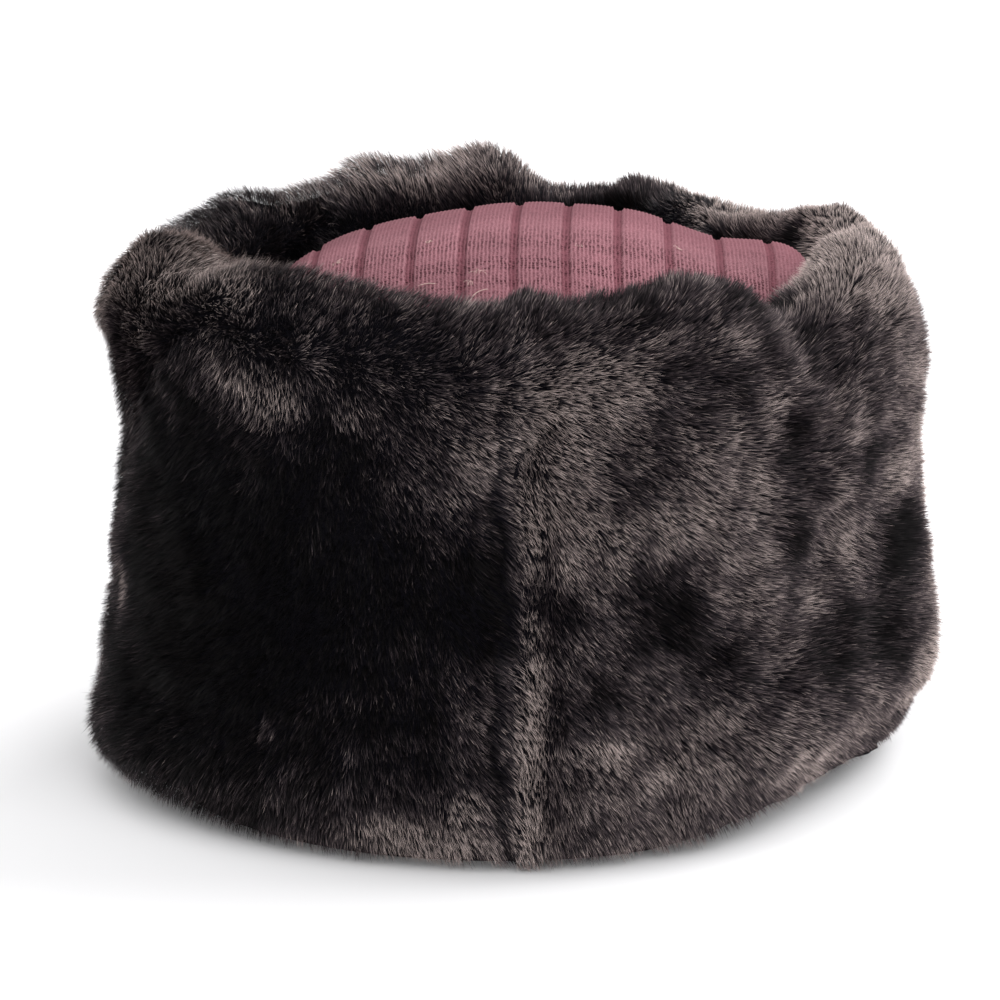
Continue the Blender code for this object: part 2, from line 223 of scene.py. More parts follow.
def half_depth(x, side):
    """Half depth of the dome on lines across it, towards the back or the front."""
    low, high = np.zeros_like(x), np.full_like(x, WIDEST)
    for _ in range(HALVINGS):
        middle = (low + high) / 2
        reach = at_bearing(dome_reach, np.degrees(np.arctan2(side * middle, x)))
        inside = np.hypot(x, middle) < reach
        low, high = np.where(inside, middle, low), np.where(inside, high, middle)
    return low


left_end, right_end = SIDE_MARGIN - dome_reach[180], dome_reach[0] - SIDE_MARGIN
stations = []
for wale in range(math.floor(left_end / WALE), math.ceil(right_end / WALE) + 1):
    for offset, full in WALE_STATIONS:
        place = (wale + 0.5 + offset) * WALE
        if left_end < place < right_end:
            stations.append((place, full))
place_x = np.array([place for place, _ in stations])
place_full = np.array([full for _, full in stations])
depth_back, depth_front = half_depth(place_x, 1), half_depth(place_x, -1)
row_turn = np.linspace(-1, 1, DOME_ROWS)
row_share = np.sign(row_turn) * (1 - (1 - np.abs(row_turn)) ** ROW_CROWDING)

bpy.ops.mesh.primitive_grid_add(
    x_subdivisions=len(stations) - 1, y_subdivisions=DOME_ROWS - 1, size=1.0
)
crown = bpy.context.object
crown.name = crown.data.name = "knit_crown_ribbed"
grid = np.empty(len(crown.data.vertices) * 3)
crown.data.vertices.foreach_get("co", grid)
grid = grid.reshape(-1, 3)
column = np.rint((grid[:, 0] + 0.5) * (len(stations) - 1)).astype(int)
row = np.rint((grid[:, 1] + 0.5) * (DOME_ROWS - 1)).astype(int)
x = place_x[column]
y = row_share[row] * np.where(row_share[row] > 0, depth_back[column], depth_front[column])
edge = (row == 0) | (row == DOME_ROWS - 1) | (column == 0) | (column == len(stations) - 1)
inside_edge = np.clip((1 - np.abs(row_share[row])) * EDGE_STEEPNESS, 0, 1)
in_rib = np.abs((x + RIB_PITCH / 2) % RIB_PITCH - RIB_PITCH / 2)
step = np.clip((in_rib - GROOVE_HALF) / RIB_EDGE, 0, 1)
crowned = 1 - (1 - np.clip(in_rib / (RIB_PITCH / 2), 0, 1)) ** 2
rib = (1 - RIB_ROUND) * step * step * (3 - 2 * step) + RIB_ROUND * crowned
sunk = RIB_HIGH * (1 - rib) + WALE_HIGH * (1 - place_full[column])
z = dome_height(x, y)
lean_x = -(dome_height(x + SLOPE_STEP, y) - dome_height(x - SLOPE_STEP, y)) / (2 * SLOPE_STEP)
lean_y = -(dome_height(x, y + SLOPE_STEP) - dome_height(x, y - SLOPE_STEP)) / (2 * SLOPE_STEP)
outward = np.stack((lean_x, lean_y, np.ones_like(x)), axis=1)
outward /= np.linalg.norm(outward, axis=1, keepdims=True)
grid = np.stack((x, y, z), axis=1) - outward * (sunk * inside_edge)[:, None]
edge_reach = at_bearing(dome_reach, np.degrees(np.arctan2(y, x)))
grid[:, 0] += RIB_LEAN * (1 - (np.hypot(x, y) / edge_reach) ** 2) * y
grid[edge, 2] = flange_top
crown.data.vertices.foreach_set("co", grid.ravel())

# The knit's own measure: across the wales, and along them over the dome
points = np.zeros((DOME_ROWS, len(stations), 3))
points[row, column] = np.stack((x, y, z), axis=1)
lengths = np.linalg.norm(np.diff(points, axis=0), axis=2)
along_rows = np.vstack((np.zeros((1, len(stations))), np.cumsum(lengths, axis=0)))
along_rows -= along_rows[DOME_ROWS // 2]
loops = np.empty(len(crown.data.loops), dtype=np.int64)
crown.data.loops.foreach_get("vertex_index", loops)
knit_uv = crown.data.uv_layers.active or crown.data.uv_layers.new(name="knit")
knit_uv.name = "knit"
uv = np.stack((x[loops], along_rows[row[loops], column[loops]]), axis=1)
knit_uv.data.foreach_set("uv", uv.ravel())

sheet = bmesh.new()
sheet.from_mesh(crown.data)
hem_edges = [side for side in sheet.edges if side.is_boundary]
made = bmesh.ops.extrude_edge_only(sheet, edges=hem_edges)["geom"]
for vertex in (item for item in made if isinstance(item, bmesh.types.BMVert)):
    bearing = math.atan2(vertex.co.y, vertex.co.x)
    radius = float(at_bearing(flange_reach, math.degrees(bearing)))
    vertex.co = (radius * math.cos(bearing), radius * math.sin(bearing), flange_top)
# The extrusion adds its parts in an order that differs between runs, so they are sorted
sort_way = Vector((1.0, 0.37, 0.11))
sheet.verts.sort(key=lambda vertex: vertex.co.dot(sort_way))
sheet.edges.sort(key=lambda edge: (edge.verts[0].co + edge.verts[1].co).dot(sort_way))
sheet.faces.sort(key=lambda face: face.calc_center_median().dot(sort_way))
bmesh.ops.recalc_face_normals(sheet, faces=sheet.faces)
if sum(face.normal.z for face in sheet.faces) < 0:
    bmesh.ops.reverse_faces(sheet, faces=sheet.faces)
sheet.to_mesh(crown.data)
sheet.free()
crown.data.shade_smooth()
thickness = crown.modifiers.new("knit thickness", "SOLIDIFY")
thickness.thickness = KNIT_THICKNESS * THICKNESS_SHOWN
thickness.offset = -1.0
bpy.context.view_layer.objects.active = crown
crown.select_set(True)
bpy.ops.object.modifier_apply(modifier=thickness.name)
crown.select_set(False)


def math_node(tree, operation, first, second=None):
    """A math node on sockets or plain numbers, giving its output socket."""
    made = tree.nodes.new("ShaderNodeMath")
    made.operation = operation
    for index, value in enumerate((first, second)):
        if isinstance(value, bpy.types.NodeSocket):
            tree.links.new(value, made.inputs[index])
        elif value is not None:
            made.inputs[index].default_value = value
    return made.outputs[0]


def color_mix(tree, factor, first, second, blend="MIX"):
    """A colour mix node on sockets, plain numbers or colours, giving its output socket."""
    made = tree.nodes.new("ShaderNodeMix")
    made.data_type = "RGBA"
    made.blend_type = blend
    made.clamp_factor = True
    for index, value in ((0, factor), (6, first), (7, second)):
        if isinstance(value, bpy.types.NodeSocket):
            tree.links.new(value, made.inputs[index])
        elif isinstance(value, tuple):
            made.inputs[index].default_value = (*value, 1.0)
        else:
            made.inputs[index].default_value = value
    return made.outputs[2]


def map_range(tree, value, low, high, start=0.0, end=1.0):
    """A smooth map of a socket from one range to another."""
    made = tree.nodes.new("ShaderNodeMapRange")
    made.interpolation_type = "SMOOTHSTEP"
    tree.links.new(value, made.inputs["Value"])
    for name, number in zip(("From Min", "From Max", "To Min", "To Max"), (low, high, start, end)):
        made.inputs[name].default_value = number
    return made.outputs["Result"]


def add_bump(tree, shader, height, strength, distance):
    """Bump on a shader, from a height socket."""
    bump = tree.nodes.new("ShaderNodeBump")
    bump.inputs["Strength"].default_value = strength
    bump.inputs["Distance"].default_value = distance
    tree.links.new(height, bump.inputs["Height"])
    tree.links.new(bump.outputs["Normal"], shader.inputs["Normal"])


def heather_group():
    """Uneven dye and yarn: a soft lightening and darkening in clouds and in fine fibres."""
    group = bpy.data.node_groups.new("heather", "ShaderNodeTree")
    face = group.interface
    color_in = face.new_socket("Color", in_out="INPUT", socket_type="NodeSocketColor")
    color_in.default_value = (0.5, 0.5, 0.5, 1.0)
    for name, value in (("Cloud Size", 40.0), ("Fibre Size", 1500.0), ("Amount", 0.2)):
        made = face.new_socket(name, in_out="INPUT", socket_type="NodeSocketFloat")
        made.default_value = value
    face.new_socket("Color", in_out="OUTPUT", socket_type="NodeSocketColor")
    face.new_socket("Height", in_out="OUTPUT", socket_type="NodeSocketFloat")
    start = group.nodes.new("NodeGroupInput")
    end = group.nodes.new("NodeGroupOutput")
    place = group.nodes.new("ShaderNodeTexCoord")
    found = []
    for size in ("Cloud Size", "Fibre Size"):
        made = group.nodes.new("ShaderNodeTexNoise")
        made.inputs["Detail"].default_value = 3.0
        group.links.new(place.outputs["Object"], made.inputs["Vector"])
        group.links.new(start.outputs[size], made.inputs["Scale"])
        found.append(made.outputs["Fac"])
    both = math_node(group, "ADD", found[0], found[1])
    swing = math_node(group, "MULTIPLY", math_node(group, "SUBTRACT", both, 1.0), 2.0)
    swing = math_node(group, "MULTIPLY", swing, start.outputs["Amount"])
    bright = group.nodes.new("ShaderNodeHueSaturation")
    group.links.new(start.outputs["Color"], bright.inputs["Color"])
    group.links.new(math_node(group, "ADD", swing, 1.0), bright.inputs["Value"])
    group.links.new(bright.outputs["Color"], end.inputs["Color"])
    group.links.new(found[1], end.inputs["Height"])
    return group


heather = heather_group()


def heathered(tree, color, cloud, fibre, amount):
    """The heather group placed in a material, giving its colour and height sockets."""
    made = tree.nodes.new("ShaderNodeGroup")
    made.node_tree = heather
    if isinstance(color, bpy.types.NodeSocket):
        tree.links.new(color, made.inputs["Color"])
    else:
        made.inputs["Color"].default_value = (*color, 1.0)
    made.inputs["Cloud Size"].default_value = cloud
    made.inputs["Fibre Size"].default_value = fibre
    made.inputs["Amount"].default_value = amount
    return made.outputs["Color"], made.outputs["Height"]


# The yarn's lit rose, then two darker roses that are painted shade: one for the grooves, the gaps
# between wales and the back of the dome, one for the stitch holes
ROSE_LIT = (0.256, 0.119, 0.138)
ROSE_SHADE = (0.102, 0.022, 0.034)
ROSE_HOLE_SHADE = (0.026, 0.003, 0.006)
STITCH_ROW = 0.00125
STITCH_REACH = 0.40
GROOVE_SHADE = 0.55
HOLE_SHADE = 0.92
WANDER = 0.00088

rose, tree, shader = new_material("rose rib knit", {
    "Roughness": 0.92, "Specular IOR Level": 0.05, "Sheen Weight": 0.04,
    "Sheen Roughness": 0.55, "Sheen Tint": (0.95, 0.72, 0.76, 1.0)})
uv_place = tree.nodes.new("ShaderNodeUVMap")
uv_place.uv_map = "knit"
place = tree.nodes.new("ShaderNodeTexCoord")
split = tree.nodes.new("ShaderNodeSeparateXYZ")
tree.links.new(uv_place.outputs["UV"], split.inputs["Vector"])
# The yarn wanders a little from its wale and its row
stray = tree.nodes.new("ShaderNodeTexNoise")
stray.inputs["Scale"].default_value = 420.0
tree.links.new(place.outputs["Object"], stray.inputs["Vector"])
stray_parts = tree.nodes.new("ShaderNodeSeparateColor")
tree.links.new(stray.outputs["Color"], stray_parts.inputs["Color"])
across, along = (
    math_node(tree, "ADD", split.outputs[way], math_node(tree, "MULTIPLY", math_node(
        tree, "SUBTRACT", stray_parts.outputs[channel], 0.5), WANDER))
    for way, channel in (("X", "Red"), ("Y", "Green"))
)
# 0 in the middle of a wale and 1 between two wales
in_wale = math_node(tree, "PINGPONG", math_node(tree, "DIVIDE", across, WALE), 0.5)
between = math_node(tree, "SUBTRACT", 1.0, math_node(tree, "MULTIPLY", in_wale, 2.0))
# Stitches along a wale, each a V: its arms reach back towards the wale's sides
in_row = math_node(tree, "DIVIDE", along, STITCH_ROW)
in_row = math_node(tree, "ADD", in_row, math_node(tree, "MULTIPLY", between, STITCH_REACH))
in_row = math_node(tree, "MULTIPLY", math_node(tree, "PINGPONG", in_row, 0.5), 2.0)
patchy = tree.nodes.new("ShaderNodeTexNoise")
patchy.inputs["Scale"].default_value = 620.0
tree.links.new(place.outputs["Object"], patchy.inputs["Vector"])
open_yarn = map_range(tree, patchy.outputs["Fac"], 0.38, 0.58, 0.15, 1.0)
hole = math_node(
    tree, "MULTIPLY",
    map_range(tree, between, 0.24, 0.66),
    map_range(tree, in_row, 0.10, 0.55),
)
hole = math_node(tree, "MULTIPLY", hole, open_yarn)
# Fold marks across the ribs: courses that were stretched show more of their holes
course = tree.nodes.new("ShaderNodeTexNoise")
course.noise_dimensions = "1D"
course.inputs["Scale"].default_value = 150.0
tree.links.new(math_node(tree, "ADD", split.outputs["Y"], 0.7), course.inputs["W"])
stretched = map_range(tree, course.outputs["Fac"], 0.38, 0.60, 0.45, 1.0)
hole = math_node(tree, "MULTIPLY", hole, stretched)
# Towards the front the stitch holes and the gaps between the wales get more painted shade
toward_front = map_range(tree, split.outputs["Y"], -0.034, -0.012, 1.0, 0.35)
hole = math_node(tree, "MULTIPLY", hole, toward_front)
# The sunk groove between two ribs gets painted shade
in_groove = math_node(tree, "MULTIPLY", math_node(
    tree, "PINGPONG", math_node(tree, "DIVIDE", split.outputs["X"], RIB_PITCH), 0.5), RIB_PITCH)
groove = map_range(tree, in_groove, GROOVE_HALF * 0.95, GROOVE_HALF + RIB_EDGE * 0.7, 1.0, 0.0)
# Painted shade in the gaps between the wales, more towards the front
wale_gap_shade = math_node(tree, "MULTIPLY", between, map_range(tree, toward_front, 0.35, 1.0, 0.30, 0.50))
yarn = color_mix(tree, wale_gap_shade, ROSE_LIT, ROSE_SHADE)
# Towards the middle and the back of the dome the yarn gets painted shade
far = map_range(tree, split.outputs["Y"], -0.026, 0.002, 0.0, 0.38)
yarn = color_mix(tree, far, yarn, ROSE_SHADE)
yarn = color_mix(tree, math_node(tree, "MULTIPLY", groove, GROOVE_SHADE), yarn, ROSE_SHADE)
# Painted shade in the stitch holes
yarn = color_mix(tree, math_node(tree, "MULTIPLY", hole, HOLE_SHADE), yarn, ROSE_HOLE_SHADE)
yarn, fuzz = heathered(tree, yarn, 35.0, 1200.0, 0.40)
tree.links.new(yarn, shader.inputs["Base Color"])
raised = math_node(tree, "SUBTRACT", math_node(tree, "MULTIPLY", fuzz, 0.7), hole)
raised = math_node(tree, "SUBTRACT", raised, math_node(tree, "MULTIPLY", in_row, 0.35))
add_bump(tree, shader, raised, 0.9, 0.0003)
crown.data.materials.append(rose)
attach(crown, "root")
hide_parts("knit_crown")


# Lint on the crown: two loose ends of cream sewing thread near the front, and a few
# white fibres that cling to the knit. Each is a short bent strand lying on the ribs.

THREAD_WIDE = 0.00018
FIBRE_WIDE = 0.00007
CREAM = (0.62, 0.46, 0.40)

# x, y is a strand's middle and long its length in metres; turn is degrees from +X
THREADS = (
    {"x": -0.0242, "y": -0.0480, "long": 0.0050, "turn": -6.0},
    {"x": -0.0099, "y": -0.0540, "long": 0.0050, "turn": 28.0},
)
TUFTS = (
    {"x": -0.0240, "y": -0.0230, "fibres": 5, "spread": 0.0008},
    {"x": -0.0490, "y": -0.0230, "fibres": 7, "spread": 0.0022},
    {"x": -0.0100, "y": -0.0445, "fibres": 7, "spread": 0.0022},
    {"x": -0.0132, "y": -0.0495, "fibres": 5, "spread": 0.0012},
    {"x": 0.0169, "y": -0.0295, "fibres": 3, "spread": 0.0008},
    {"x": 0.0444, "y": -0.0185, "fibres": 4, "spread": 0.0014},
)
FIBRE_LONG = 0.0020
LINT_STEPS = 6
LINT_SIDES = 5
LINT_END = 0.35
THREAD_BEND = 0.12
THREAD_CLEAR = 0.0004
FIBRE_BEND = 0.3
FIBRE_CLEAR = 0.0003


def on_crown(x, y, clear):
    """A point just above the ribs over a place of the plan."""
    height = float(dome_height(np.array(x), np.array(y)))
    return Vector((x, y, height + clear))


def strand(path, wide):
    """A round strand along a short path, added as its own piece of mesh."""
    rings = []
    for index, point in enumerate(path):
        along = (path[min(index + 1, len(path) - 1)] - path[max(index - 1, 0)]).normalized()
        side = along.cross(Vector((0.0, 0.0, 1.0))).normalized()
        rise = side.cross(along)
        thin = wide / 2 * (LINT_END if index in (0, len(path) - 1) else 1.0)
        rings.append([
            lint.verts.new(point + side * thin * math.cos(turn) + rise * thin * math.sin(turn))
            for turn in (2 * math.pi * corner / LINT_SIDES for corner in range(LINT_SIDES))
        ])
    for ring, after in zip(rings, rings[1:]):
        for i in range(LINT_SIDES):
            j = (i + 1) % LINT_SIDES
            lint.faces.new((ring[i], ring[j], after[j], after[i]))
    lint.faces.new(rings[0][::-1])
    lint.faces.new(rings[-1])


def strand_path(x, y, long, turn, bend, clear):
    """Points along a strand that lies on the knit, with a bend to one side."""
    way = Vector((math.cos(turn), math.sin(turn)))
    path = []
    for step in range(LINT_STEPS + 1):
        share = step / LINT_STEPS - 0.5
        aside = bend * math.cos(math.pi * share) * long
        place = Vector((x, y)) + way * long * share + Vector((-way.y, way.x)) * aside
        path.append(on_crown(place.x, place.y, clear))
    return path


lint = bmesh.new()
lint_draw = np.random.default_rng(7)
for thread in THREADS:
    x, y, long, turn = (thread[key] for key in ("x", "y", "long", "turn"))
    strand(strand_path(x, y, long, math.radians(turn), THREAD_BEND, THREAD_CLEAR), THREAD_WIDE)
for tuft in TUFTS:
    for _ in range(tuft["fibres"]):
        x, y = lint_draw.normal((tuft["x"], tuft["y"]), tuft["spread"] / 2)
        turn, bend = lint_draw.uniform(0, math.pi), lint_draw.uniform(-FIBRE_BEND, FIBRE_BEND)
        strand(strand_path(x, y, FIBRE_LONG, turn, bend, FIBRE_CLEAR), FIBRE_WIDE)
bmesh.ops.recalc_face_normals(lint, faces=lint.faces)
lint_mesh = bpy.data.meshes.new("lint_threads")
lint.to_mesh(lint_mesh)
lint.free()
lint_mesh.shade_smooth()
lint_threads = bpy.data.objects.new("lint_threads", lint_mesh)
bpy.context.scene.collection.objects.link(lint_threads)
cream, tree, shader = new_material("cream lint", {"Roughness": 0.7})
color, _ = heathered(tree, CREAM, 300.0, 1500.0, 0.3)
tree.links.new(color, shader.inputs["Base Color"])
lint_mesh.materials.append(cream)
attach(lint_threads, "root")


# The fur band's two panels: a backing cloth with its near black underfur, folded inwards
# over the rim and down to the crown's seam, and sewn to each other at the front and back.

BAND_HEIGHT = 0.147
BAND_RADIUS = 0.110
REMESH_CELL = 0.0030
PILE_DEPTH = 0.0050
BACKING_NEAR = 0.0014
SKIN_DEPTH = 0.0039
THIN_SHARE = 0.36
RAY_START = 0.0003
THICKEST = 0.1
SEAM_BEARINGS = (-90.0, 72.0)
SEAM_NEAR = 0.5
SEAM_OVERLAP = 0.4
MERGE = 0.00001
SEAM_FILLING = 0.0040
SEAM_FILLED = 0.0065
SEAM_PINCH = 0.0022
SEAM_OFFSET = -0.0052
SEAM_WAVES = ((0.0016, 95.0, 0.6), (0.0010, 290.0, 0.0))
PARTING = 0.0015

# Each panel's middle bearing and half its span in degrees
PANELS = {"right": (-9.0, 81.0), "left": (171.0, 99.0)}

# Where the skin bears no fur: its turn from outwards or upwards, its heights from the
# ground or from the crown's seam, and for a face of the backing cloth the same again
BACKING_TURNED = -0.3
BACKING_PAST = 0.003
FOOT_TURNED = -0.75
FOOT_TOP = 0.016
TUCK_TURNED = -0.50
TUCK_HIGH = 0.006
TUCK_OUT = 0.002
CLOTH_PAST = 0.002
CLOTH_LEVEL = 0.7

# The hem's outer limit: its edge, how fast it spreads up to a turn and past it, and its top
HEM_EDGE = 0.0065
HEM_SPREAD = 0.45
HEM_TURN = 0.008
HEM_FLARE = 4
HEM_TOP = 0.018

panels_tree = tree_of("fur_panel_right", "fur_panel_left")
backing_reach = reach_around(panels_tree, 0.050, False)


def bearings_of(points):
    """Bearings in degrees of points."""
    return np.degrees(np.arctan2(points[:, 1], points[:, 0]))


def turn_between(bearing, other):
    """Smallest turn in degrees from one bearing to another."""
    return (bearing - other + 180.0) % 360.0 - 180.0


def outside_backing(points):
    """How far points lie outside the backing's inner face, in metres."""
    return np.hypot(points[:, 0], points[:, 1]) - at_bearing(backing_reach, bearings_of(points))


def outward_share(points, normals):
    """1 where a surface faces straight out from the hat's middle line, -1 straight in."""
    return (normals[:, :2] * points[:, :2]).sum(axis=1) / np.hypot(points[:, 0], points[:, 1])


def furred(points, normals):
    """1 where the skin bears fur, and 0 on the backing, the hem's foot and the crown's seam."""
    outward, out = outward_share(points, normals), outside_backing(points)
    up, facing_up = points[:, 2], normals[:, 2]
    backing = (np.abs(out) < BACKING_NEAR) & (outward < BACKING_TURNED)
    backing &= up < flange_top + BACKING_PAST
    foot = (facing_up < FOOT_TURNED) & (up < FOOT_TOP)
    tucked = (facing_up < TUCK_TURNED) & (np.abs(up - flange_top) < TUCK_HIGH) & (out < TUCK_OUT)
    return np.where(backing | foot | tucked, 0.0, 1.0)


def around_from(points, seam):
    """How far round the band points lie from a seam's bearing, in metres."""
    turn = turn_between(bearings_of(points), seam)
    return np.hypot(points[:, 0], points[:, 1]) * np.radians(turn)


def seam_distance(points, seam):
    """How far points lie from a seam's wandering line, in metres."""
    line = SEAM_OFFSET * (seam < 0) + sum(
        swing * np.sin(points[:, 2] * rate + start) for swing, rate, start in SEAM_WAVES)
    return np.abs(around_from(points, seam) - line)


def seam_filling(points):
    """How much the pile fills the solids' dip beside a seam, in metres."""
    filling = np.zeros(len(points))
    for seam in SEAM_BEARINGS:
        filling += SEAM_FILLING * np.exp(-((around_from(points, seam) / SEAM_FILLED) ** 2))
        filling -= SEAM_PINCH * np.exp(-((seam_distance(points, seam) / (2 * PARTING)) ** 2))
    return filling


def coordinates(mesh):
    """A mesh's points and normals as arrays."""
    points = np.empty(len(mesh.vertices) * 3)
    normals = np.empty(len(mesh.vertices) * 3)
    mesh.vertices.foreach_get("co", points)
    mesh.vertices.foreach_get("normal", normals)
    return points.reshape(-1, 3), normals.reshape(-1, 3)


UNDERFUR = (0.0042, 0.0038, 0.0056)
BACKING_CLOTH = (0.024, 0.021, 0.021)
WEFT_PITCH = 0.0011
WARP_THREADS = 540.0

underfur, tree, shader = new_material("dark underfur", {
    "Roughness": 0.95, "Specular IOR Level": 0.05})
color, height = heathered(tree, UNDERFUR, 60.0, 900.0, 0.5)
tree.links.new(color, shader.inputs["Base Color"])
add_bump(tree, shader, height, 1.0, 0.0012)

backing, tree, shader = new_material("backing cloth", {
    "Roughness": 0.9, "Specular IOR Level": 0.25, "Sheen Weight": 0.25, "Sheen Roughness": 0.5})
color, height = heathered(tree, BACKING_CLOTH, 25.0, 2200.0, 0.25)
place = tree.nodes.new("ShaderNodeTexCoord")
split = tree.nodes.new("ShaderNodeSeparateXYZ")
tree.links.new(place.outputs["Object"], split.inputs["Vector"])
round_way = math_node(tree, "ARCTAN2", split.outputs["Y"], split.outputs["X"])
weave = math_node(tree, "MULTIPLY", *(
    math_node(tree, "SINE", math_node(tree, "MULTIPLY", way, threads))
    for way, threads in ((split.outputs["Z"], 2 * math.pi / WEFT_PITCH), (round_way, WARP_THREADS))
))
weave_light = map_range(tree, weave, -0.6, 0.8)
tree.links.new(color_mix(tree, weave_light, BACKING_CLOTH, color), shader.inputs["Base Color"])
add_bump(tree, shader, math_node(tree, "ADD", weave, height), 0.7, 0.00025)

halves = []
for side, (middle, _) in PANELS.items():
    half = bpy.data.objects.new(f"half_{side}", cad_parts[f"fur_panel_{side}"].data.copy())
    bpy.context.scene.collection.objects.link(half)
    points, _ = coordinates(half.data)
    bearing, radius = bearings_of(points), np.hypot(points[:, 0], points[:, 1])
    away = np.min([np.abs(turn_between(bearing, seam)) for seam in SEAM_BEARINGS], axis=0)
    turn = np.radians(bearing + np.where(
        away < SEAM_NEAR, SEAM_OVERLAP * np.sign(turn_between(bearing, middle)), 0.0))
    points[:, 0], points[:, 1] = radius * np.cos(turn), radius * np.sin(turn)
    half.data.vertices.foreach_set("co", points.ravel())
    halves.append(half)
skin = halves[0]
skin.name = skin.data.name = "fur_skin"
bpy.context.view_layer.objects.active = skin
for half in halves:
    half.select_set(True)
bpy.ops.object.join()
bpy.ops.object.mode_set(mode="EDIT")
bpy.ops.mesh.select_all(action="SELECT")
bpy.ops.mesh.remove_doubles(threshold=MERGE)
bpy.ops.object.mode_set(mode="OBJECT")
remesh = skin.modifiers.new("even cells", "REMESH")
remesh.mode = "VOXEL"
remesh.voxel_size = REMESH_CELL
remesh.use_smooth_shade = True
bpy.ops.object.modifier_apply(modifier=remesh.name)
smooth = skin.modifiers.new("soft", "SMOOTH")
smooth.factor = 0.5
smooth.iterations = 4
bpy.ops.object.modifier_apply(modifier=smooth.name)
skin.select_set(False)
mesh = skin.data
skin_points, skin_normals = coordinates(mesh)
bears = furred(skin_points, skin_normals)
skin_points += skin_normals * (bears * seam_filling(skin_points))[:, None]
mesh.calc_loop_triangles()
corners = np.empty(len(mesh.loop_triangles) * 3, dtype=np.int64)
mesh.loop_triangles.foreach_get("vertices", corners)
corners = corners.reshape(-1, 3)

# The skin itself lies just above the hair's roots, less deep where the fur is thin, and
# it narrows to the backing's edge at the hem
ends = np.array([edge.vertices for edge in mesh.edges])
shares = bears.copy()
count = np.bincount(ends.ravel(), minlength=len(shares))
for _ in range(3):
    total = np.bincount(ends[:, 0], shares[ends[:, 1]], minlength=len(shares))
    total += np.bincount(ends[:, 1], shares[ends[:, 0]], minlength=len(shares))
    shares = np.minimum(shares, total / count)
whole_tree = BVHTree.FromPolygons(
    [Vector(point) for point in skin_points], [list(face.vertices) for face in mesh.polygons])
thick = np.array([
    whole_tree.ray_cast(Vector(point - normal * RAY_START), Vector(-normal))[3] or THICKEST
    for point, normal in zip(skin_points, skin_normals)
])
depth = np.minimum(SKIN_DEPTH, THIN_SHARE * thick) * shares
sunk_points = skin_points - skin_normals * depth[:, None]
out = outside_backing(sunk_points)
rise = np.maximum(sunk_points[:, 2], 0.0)
allowed = HEM_EDGE + rise * HEM_SPREAD + np.maximum(rise - HEM_TURN, 0.0) * HEM_FLARE
allowed = np.where(sunk_points[:, 2] < HEM_TOP, allowed, 1.0)
excess = np.maximum(out - allowed, 0.0) / np.hypot(sunk_points[:, 0], sunk_points[:, 1])
sunk_points[:, :2] *= (1 - excess)[:, None]
mesh.vertices.foreach_set("co", sunk_points.ravel())
mesh.materials.clear()
mesh.materials.append(underfur)
mesh.materials.append(backing)
finish_of_face = [
    int(np.mean([bears[i] for i in face.vertices]) < 0.5 and face.normal.dot(face.center) < 0
        and face.center.z < flange_top + CLOTH_PAST and abs(face.normal.z) < CLOTH_LEVEL)
    for face in mesh.polygons
]
mesh.polygons.foreach_set("material_index", finish_of_face)
mesh.update()
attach(skin, "root")
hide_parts("fur_panel_right", "fur_panel_left")


# The fur: a dense plush pile of fine hair, near black at the root and taupe grey at the
# tip, combed and crushed. Each hair is a bent spindle of two triangles set in the skin.

# How the pile lies, in rows of bearing, up and way. up is a share of the band's height, and
# past 1 the way down inside the rim. way is degrees from level, turning up, with higher
# bearings to the right.
FLOWS = (
    (-79, 0.95, 14),
    (-79, 0.84, -22),
    (-72, 0.72, -12),
    (-70, 0.60, -56),
    (-81, 0.56, -50),
    (-77, 0.38, -44),
    (-72, 0.22, -60),
    (-80, 0.08, -56),
    (-56, 0.92, 10),
    (-52, 0.80, 22),
    (-44, 0.72, 30),
    (-50, 0.60, -14),
    (-60, 0.66, -42),
    (-38, 0.52, -35),
    (-64, 0.47, -28),
    (-52, 0.45, -14),
    (-47, 0.37, 18),
    (-40, 0.28, -5),
    (-48, 0.18, -46),
    (-62, 0.12, -64),
    (-34, 0.13, -44),
    (-24, 0.28, -18),
    (-14, 0.70, -2),
    (-32, 0.92, 44),
    (-44, 0.98, 48),
    (-8, 0.94, 20),
    (-4, 0.15, -50),
    (-139, 0.80, -84),
    (-121, 0.82, -58),
    (-130, 0.70, -74),
    (-110, 0.78, -40),
    (-152, 0.42, -112),
    (-110, 0.45, -60),
    (-126, 0.20, -80),
    (-142, 0.08, -92),
    (-100, 0.10, -56),
    (-98, 0.28, -44),
    (-97, 0.52, -44),
    (-98, 0.72, -34),
    (-101, 0.92, 16),
    (-160, 0.12, -98),
    (178, 0.80, -62),
    (160, 0.30, -98),
    (136, 0.60, -52),
    (112, 0.85, -24),
    (110, 0.30, -82),
    (82, 0.55, -116),
    (60, 0.86, -42),
    (46, 0.46, -78),
    (30, 0.18, -58),
    (12, 0.60, -36),
    (2, 0.42, -24),
    (24, 0.92, 18),
    (20, 1.02, -30),
    (42, 1.02, -58),
    (72, 1.03, -70),
    (100, 1.04, -58),
    (122, 1.04, -44),
    (146, 1.04, -46),
    (178, 1.02, -70),
    (-152, 1.02, 30),
    (-120, 1.02, 44),
    (-90, 1.02, 46),
    (-60, 1.02, 44),
    (-25, 1.02, 46),
    (0, 1.02, 30),
    (100, 1.22, 104),
    (140, 1.20, 96),
    (55, 1.20, 84),
    (15, 1.18, 76),
    (-30, 1.18, 84),
    (-90, 1.18, 92),
    (-150, 1.18, 96),
    (180, 1.18, 92),
)
FLOW_REACH = 0.017
